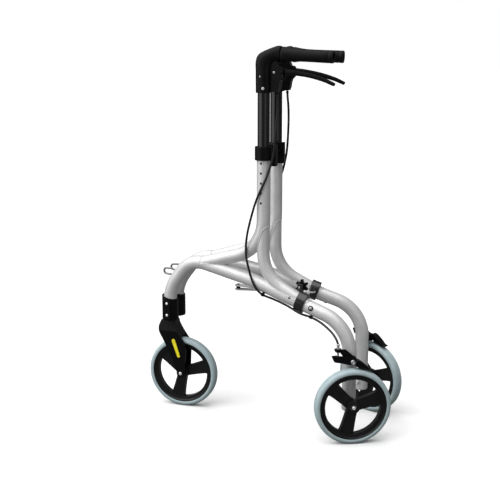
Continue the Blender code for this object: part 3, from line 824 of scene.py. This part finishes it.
pivot_bolt = together(
    put(screw_head(4.4, 2.8, 0.45), shift(36.4, 0, ARM_PIVOT_Z)),
    rod(3.0, 24, 36.8, "X", (0, 0, ARM_PIVOT_Z), 24),
)
both("brake_pivot_bolt", pivot_bolt, WHEEL, BRIGHT, "frame", "zinc_steel")
both("brake_spring", put(coil(4.9, 0.7, 1.5, 3.2), shift(37.2, 0, ARM_PIVOT_Z)), WHEEL, STEEL, "frame",
     "zinc_steel")

# Cable adjuster in the bracket's flange, and the inner wire to the arm with its spring
stop_at = (STOP_X, STOP_Y, 0)
adjuster = together(
    hexagon(5.2, 237.2, 240.6, "Z", stop_at), hexagon(4.6, 228.2, 231.8, "Z", stop_at),
    rod(3.2, 226, 246, "Z", stop_at, 28), rod(4.2, 245, 250, "Z", stop_at, 28, 1.0),
)
both("cable_adjuster", adjuster, WHEEL, STEEL, "frame", "zinc_steel", bevel=0.3)
inner_wire = sweep([(STOP_X, STOP_Y, 226.5), (26, -36.5, 221), (27.5, -38.5, 215)], 1.0, 12)
both("brake_inner_wire", inner_wire, WHEEL, STEEL, "frame", "zinc_steel")
both("brake_return_spring", aimed(coil(2.3, 0.5, 1.15, 8), "Z", (24.4, STOP_Y, 217)), WHEEL, STEEL,
     "frame", "zinc_steel")


# Clamps for the fold links, and the star knob

LINK_X, LINK_Y = -9.0, 382.3  # eye of a clamp's tongue, where its link turns
TONGUE = (340.0, 346.0)
STAR_Y, STAR_Z = 374.5, 369
clamp_at = shift(TUBE_X, LINK_Y, 331.8) @ turn(-19.3, "X")


def clamp(with_ear):
    band = lathe(
        [(-12, 18.0), (-12, 20.7), (-11.4, 21.3), (11.4, 21.3), (12, 20.7), (12, 18.0)], 64, ring=True)
    for v in band.verts:
        if v.co.z > 0 and math.hypot(v.co.y, v.co.z) > 19:
            v.co.z *= 1.3
    lip = block((-3.2, 3.2), (-11.6, 11.6), (-23.6, -19.2))
    shapes = [
        put(band, clamp_at @ turn(90, "Z")),
        put(lip, clamp_at),
        block((LINK_X, 10), (LINK_Y - 8, LINK_Y + 8), TONGUE),
        rod(8, *TONGUE, "Z", (LINK_X, LINK_Y, 0), 40),
        rod(3.0, TONGUE[0] - 5.5, TONGUE[1] + 5, "Z", (LINK_X, LINK_Y, 0), 24),
    ]
    if with_ear:
        shapes.append(block((12, 17), (368, 382), (347, 377)))
    return together(*shapes)


for side in SIDES:
    piece(side + "_clamp_moulding", clamp(side == "left"), MIRROR[side] @ FRAME, GLOSS,
          side + "_frame", "black_plastic", [side + "_fold_clamp"], bevel=0.7, angle=45)
both("clamp_screw", put(screw_head(3.2, 2.0, 0.5), shift(3.1, 0, -21.6)), FRAME @ clamp_at, STEEL,
     "frame", "zinc_steel")

star = []
for i in range(12):
    is_tip = i % 2 == 0
    radius = 17.0 if is_tip else 9.2
    angle = math.radians(-90 + 30 * i)
    spread = (-0.13, 0.13) if is_tip else (0,)
    star += [
        (STAR_Y + radius * math.cos(angle + s), STAR_Z + radius * math.sin(angle + s)) for s in spread
    ]
star_cap = lathe([(-6.6, 0), (-6.4, 4.5), (-5.4, 7.0), (-4, 7.2), (-4, 0)], 36)
star_knob = together(
    prism(star, -5, 5), rod(7, 4, 8, "X", (0, STAR_Y, STAR_Z), 36, 1.0),
    put(star_cap, shift(0, STAR_Y, STAR_Z)),
)
piece("star_knob_moulding", star_knob, FRAME, BLACK, "star_knob", "black_plastic", ["star_knob"],
      bevel=1.3, segments=3, angle=30)
piece("star_knob_stud", rod(2.9, 7.5, 21, "X", (0, STAR_Y, STAR_Z), 24), FRAME, STEEL, "star_knob",
      "zinc_steel")

# Fold links: flat bars with round eyes, forward from the clamp to the middle pin
LINK_LENGTH = 194
folded = math.radians(FOLDED)
link_x = LINK_Y * math.sin(folded) + LINK_X * math.cos(folded)
link_y = HINGE_Y + LINK_Y * math.cos(folded) - LINK_X * math.sin(folded)
LINK = shift(link_x, link_y, 0) @ turn(-math.degrees(math.asin(link_x / LINK_LENGTH)), "Z")
link_outline = [
    *arc((0, 0), 9, -10, 190, 20), (-8, -14), (-8, -180),
    *arc((0, -LINK_LENGTH), 9, 170, 370, 20), (8, -180), (8, -14),
]
for side, low in (("left", TONGUE[1] + 0.4), ("right", TONGUE[0] - 4.4)):
    piece(side + "_link_bar", prism(link_outline, low, low + 4, "XY"), MIRROR[side] @ LINK, PAINT,
          side + "_link", "frame_paint", [side + "_fold_link"],
          cuts=[rod(3.5, 300, 370, "Z", (0, 0, 0), 28, 0)], bevel=0.6, angle=40)
pin_at = (0, -LINK_LENGTH, 0)
link_pin = together(
    rod(3.1, TONGUE[0] + 0.2, TONGUE[1] + 5, "Z", pin_at, 24, 0.3),
    aimed(rivet(4.6, 2.0), "Z", (0, -LINK_LENGTH, TONGUE[1] + 4.8)),
    rod(5.5, TONGUE[0] + 0.2, TONGUE[1] + 0.1, "Z", pin_at, 32, 0.5),
)
piece("link_rivet", link_pin, LINK, BLACK, "left_link", "black_plastic", ["link_pin"])


# Height collars and buttons

BUTTON_Y, BUTTON_Z = 287.8, 700

collar_ring = lathe([
    (685, 17.6), (685, 21.0), (685.8, 21.9), (687, 22), (717, 22), (718.2, 21.9), (719, 21.0),
    (719, 15.7), (713, 15.7), (713, 17.6),
], 60, ring=True)
button_block = prism([
    (-6, 277), *arc((TUBE_X, POST_Y), 19.5, 185, 132, 10), (12, 305), (-3, 305), (-6, 302),
], 669, 722, "XY")
both("collar_moulding", together(aimed(collar_ring, "Z", (TUBE_X, POST_Y, 0)), button_block), FRAME,
     BLACK, "frame", "black_plastic", ["height_collar"],
     cuts=[rod(5.4, -20, 2, "X", (0, BUTTON_Y, BUTTON_Z), 28, 0)], bevel=0.9, angle=45)
button_cap = lathe([(-14, 0), (-14, 5.4), (-13.4, 6.6), (-12, 7), (-9.8, 7), (-9.8, 0)], 36)
button = together(
    rod(4.7, -10, 1, "X", (0, BUTTON_Y, BUTTON_Z), 28), put(button_cap, shift(0, BUTTON_Y, BUTTON_Z))
)
both("button_moulding", button, FRAME, BLACK, "button", "black_plastic", ["height_button"])


# Handles

handle_tube = lathe([(640, 15.35), (905, 15.35), (905, 13.6), (640, 13.6)], 56, ring=True)
both("handle_tube_anodised", aimed(handle_tube, "Z"), HANDLE, ANODISED, "handle", "handle_tube",
     ["handle_tube"])


def elbow():
    """A squarish skin from the top of the tube to the grip, between an outer edge and an inner one."""
    outer_edge = smooth([
        (-19.2, 849), (-19.4, 880), (-19.6, 905), (-19.6, 923), (-17.2, 935), (-11, 943), (-1, 948.6),
        (10, 953.2), (23, 957.8), (33, 960.8), (39.5, 961), (43, 959.6),
    ], 4)
    inner_edge = smooth([
        (19.2, 849), (19.4, 866), (19.6, 880), (19.8, 892), (20, 901), (20.6, 908), (22.4, 914),
        (25, 918.5), (29, 921.6), (34, 923.2), (38.5, 923.8), (43, 924.6),
    ], 4)
    rings = []
    for outer, inner in zip(outer_edge, inner_edge):
        middle, half = (outer + inner) / 2, (outer - inner) / 2
        lean = -INBOARD * min(1.0, max(0.0, (middle.y - 905) / 36.0))
        ring = []
        for k in range(40):
            across, up = squared(k, 40, 0.8)
            ring.append((lean + 18.6 * across, middle.x + half.x * up, middle.y + half.y * up))
        rings.append(ring)
    return loft(rings)


both("elbow_casting", elbow(), HANDLE, BLACK, "handle", "black_plastic", ["handle_elbow"],
     cuts=[rod(15.6, 840, 905.4, "Z", (0, 0, 0), 48, 0)], bevel=0.6, segments=2, angle=50)
grip_profile = [
    (43.8, 0), (43.8, 17.4), (44.6, 18.4), (47, 18.9), (51, 18.6), (58, 17.4), (68, 16.0), (80, 15.0),
    (100, 14.6), (125, 14.7), (150, 15.0), (161, 15.1), (162, 14.5), (163, 14.5), (164, 15.2),
    (171.4, 15.2), (173, 14.2), (173, 11.4), (167.5, 10.8), (167.5, 0),
]
both("grip_rubber", aimed(lathe(grip_profile, 56), "Y"),
     HANDLE @ shift(-INBOARD, 0, 942) @ turn(-2.5, "X"), RUBBER, "handle", "grip", ["grip"], angle=45)

# Lever housing: stepped body under the elbow, a slot for the lever, and the cable's nozzle
LEVER_PIN_Y, LEVER_PIN_Z = 45.5, 898
NOZZLE_AT = (-10, 31, 0)

body_outline = [
    (9, 929), (30, 929), (38, 921), (41, 913), (47.5, 912), (50.5, 908), (50.5, 888), (48, 884),
    (44, 881), (41, 873), (39, 860), (36, 852), (24, 851), (20, 853), (9, 855),
]
housing = together(
    prism(body_outline, -19, 5), rod(5.0, 847.5, 856, "Z", NOZZLE_AT, 28, 1.0),
    rod(3.8, 845, 849, "Z", NOZZLE_AT, 24, 0.8),
)
lever_slot = block((-14, 0), (41, 60), (880, 915))
tube_room = rod(17.5, 850, 930, "Z", (0, 0, 0), 48, 0)
both("lever_housing_casting", housing, HANDLE, BLACK, "handle", "black_plastic", ["lever_housing"],
     cuts=[lever_slot, tube_room], bevel=1.4, segments=3, angle=40)
lever_pin = together(
    rod(3, -13 - INBOARD, 13 - INBOARD, "X", (0, LEVER_PIN_Y, LEVER_PIN_Z), 24),
    put(screw_head(3.6, 1.6, 0.45), shift(5.0, LEVER_PIN_Y, LEVER_PIN_Z)),
    put(screw_head(3.6, 1.6, 0.45), shift(-19.0, LEVER_PIN_Y, LEVER_PIN_Z) @ turn(180, "Z")),
)
both("lever_pin_bolt", lever_pin, HANDLE, BLACK, "handle", "black_plastic", ["lever_pin"])


def lever():
    """A curved bar that thins from its root to a rounded tip."""
    spine = smooth([
        (40, 896.5), (50, 898.5), (66, 898), (90, 895.3), (120, 889.5), (150, 880.5), (170, 872),
        (176.5, 868.8),
    ], 6)
    count = len(spine)
    sections = []
    for i, p in enumerate(spine):
        t = i / (count - 1)
        before, after = spine[max(i - 1, 0)], spine[min(i + 1, count - 1)]
        along = (after - before).normalized()
        up = Vector((0, -along.y, along.x))
        tip = math.sqrt(max(0.0, 1 - max(0.0, (t - 0.94) / 0.06) ** 2)) * 0.85 + 0.15
        root = min(1.0, 0.75 + t * 4)
        half_high = (9.2 - 3.2 * min(1, t / 0.5) - 2.2 * max(0, t - 0.5) / 0.5) * tip * root
        half_wide = (6.0 + 0.8 * t) * tip
        ring = []
        for k in range(28):
            across, rise = squared(k, 28, 0.7)
            ring.append(Vector((-INBOARD, p.x, p.y)) + Vector((1, 0, 0)) * half_wide * across
                        + up * half_high * rise)
        sections.append(ring)
    return loft(sections)


both("lever_blade", lever(), HANDLE, BLACK, "lever", "black_plastic", ["brake_lever"], angle=50)

# Bolts of the handle clamp
for label, radius, y, z, look in (("front", 2.6, -3.9, 887.6, STEEL), ("lower", 3.6, 4.3, 859.5, BRIGHT)):
    spin = math.degrees(math.atan2(y, 18.4))
    bolt = put(screw_head(radius, 1.8, 0.45), turn(spin, "Z") @ shift(18.3, 0, z))
    both(f"elbow_bolt_{label}", bolt, HANDLE, look, "handle", "zinc_steel")
both("elbow_bolt_rear", put(screw_head(3.4, 2.0, 0.45), shift(4.8, 27.5, 897.7)), HANDLE, STEEL,
     "handle", "zinc_steel")


# Brake cables with their clips

POINTS_PER_SPAN = 8

cable_route = [
    (13.1, 309.2, 851.2), (13.1, 309.8, 836), (15.5, 311.6, 812), (22.5, 311.3, 780),
    (27.3, 309.4, 737), (30, 306.5, 700), (34, 302, 676), (41.5, 293, 643), (46, 280, 613),
    (46, 264, 575), (46, 248, 519), (46, 241.5, 485), (46, 240, 459), (46, 241.5, 438),
    (46, 247.3, 413), (46, 256, 385), (45, 267.6, 362), (41, 284, 346.5), (35, 312, 336),
    (35.5, 346, 324.5), (39.8, 385, 308.6), (36, 412.5, 301), (40, 442, 290), (51, 470.5, 275),
    (59, 486, 262), (64, 493.6, 250.5), (64.6, 494.6, 247),
]
cable_line = smooth(cable_route, POINTS_PER_SPAN)
jackets = both("brake_cable_jacket", sweep(cable_line, 2.9, 18), FRAME, JACKET, None, "cable_jacket",
               ["brake_cable"])
for side, obj in zip(SIDES, jackets):
    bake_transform(obj)


def clip(index):
    """A small loop round the cable with a foot against the main tube."""
    point = cable_line[index]
    along = (cable_line[index + 1] - cable_line[index - 1]).normalized()
    loop = sweep(
        [point - along * 4, point - along * 3.6, point + along * 3.6, point + along * 4],
        [4.0, 4.4, 4.4, 4.0], 24)
    tube_point = min(main_line, key=lambda p: (p - point).length)
    inward = (tube_point - point).normalized()
    foot = sweep([point + inward * 1.5, tube_point - inward * (MAIN_R - 1.2)], 3.4, 16)
    return together(loop, foot)


for label, route_point in (("front", 17), ("rear", 21)):
    both(f"cable_clip_{label}", clip(POINTS_PER_SPAN * route_point), FRAME, BLACK, "frame",
         "black_plastic")


# Floor, light and camera

FLOOR_BOUNCE = 0.16  # the floor's grey for every ray but the camera's own, which see it white
SURROUND_LIGHT = 0.23
CAMERA_AT = (2.2658, 0.6740, 0.9396)
CAMERA_TOWARDS = (-0.93215, -0.29921, -0.20386)
SENSOR, LENS = 36.0, 67.51


def aim(obj, towards):
    obj.rotation_euler = towards.to_track_quat("-Z", "Y").to_euler()


def split_by_ray(tree, output, unseen, seen):
    """One shader for the camera's own rays and another for all the rest."""
    mix = tree.nodes.new("ShaderNodeMixShader")
    ray = tree.nodes.new("ShaderNodeLightPath")
    tree.links.new(ray.outputs["Is Camera Ray"], mix.inputs["Fac"])
    tree.links.new(unseen.outputs[0], mix.inputs[1])
    tree.links.new(seen.outputs[0], mix.inputs[2])
    tree.links.new(mix.outputs[0], output.inputs["Surface"])


def plain_floor():
    shape = bmesh.new()
    bmesh.ops.create_grid(shape, x_segments=4, y_segments=4, size=60)
    mesh = bpy.data.meshes.new("floor")
    shape.to_mesh(mesh)
    shape.free()
    floor = bpy.data.objects.new("floor", mesh)
    bpy.context.scene.collection.objects.link(floor)
    look = bpy.data.materials.new("floor_white")
    look.use_nodes = True
    nodes = look.node_tree.nodes
    nodes.clear()
    out = nodes.new("ShaderNodeOutputMaterial")
    white, bounce = nodes.new("ShaderNodeBsdfDiffuse"), nodes.new("ShaderNodeBsdfDiffuse")
    white.inputs["Color"].default_value = (1, 1, 1, 1)
    bounce.inputs["Color"].default_value = (FLOOR_BOUNCE, FLOOR_BOUNCE, FLOOR_BOUNCE, 1)
    split_by_ray(look.node_tree, out, bounce, white)
    mesh.materials.append(look)


def white_world():
    world = bpy.data.worlds.new("studio")
    bpy.context.scene.world = world
    world.use_nodes = True
    nodes = world.node_tree.nodes
    nodes.clear()
    out = nodes.new("ShaderNodeOutputWorld")
    around, behind = nodes.new("ShaderNodeBackground"), nodes.new("ShaderNodeBackground")
    around.inputs["Color"].default_value = (1, 1, 1, 1)
    around.inputs["Strength"].default_value = SURROUND_LIGHT
    behind.inputs["Color"].default_value = (1, 1, 1, 1)
    behind.inputs["Strength"].default_value = 1.0
    split_by_ray(world.node_tree, out, around, behind)


def softbox(name, at, target, wide, tall, strength):
    light = bpy.data.lights.new(name, "AREA")
    light.shape = "RECTANGLE"
    light.size = wide
    light.size_y = tall
    light.energy = strength * math.pi * wide * tall
    obj = bpy.data.objects.new(name, light)
    bpy.context.scene.collection.objects.link(obj)
    obj.location = at
    aim(obj, Vector(target) - Vector(at))


plain_floor()
white_world()
sky = bpy.data.lights.new("sky", "SUN")
sky.energy = 3.2
sky.angle = math.radians(85)
sky_object = bpy.data.objects.new("sky", sky)
bpy.context.scene.collection.objects.link(sky_object)
aim(sky_object, Vector((-0.25, 0.3, -1)))
softbox("front_side", (1.6, -1.9, 1.3), (0, 0, 0.5), 3.0, 2.4, 1.3)
softbox("rear_side", (1.9, 2.1, 1.2), (0, 0.1, 0.4), 1.6, 2.0, 0.5)

camera = bpy.data.cameras.new("camera")
camera.sensor_width = SENSOR
camera.lens = LENS
camera_object = bpy.data.objects.new("camera", camera)
bpy.context.scene.collection.objects.link(camera_object)
camera_object.location = CAMERA_AT
aim(camera_object, Vector(CAMERA_TOWARDS))
bpy.context.scene.camera = camera_object
bpy.context.scene.view_settings.view_transform = "Standard"
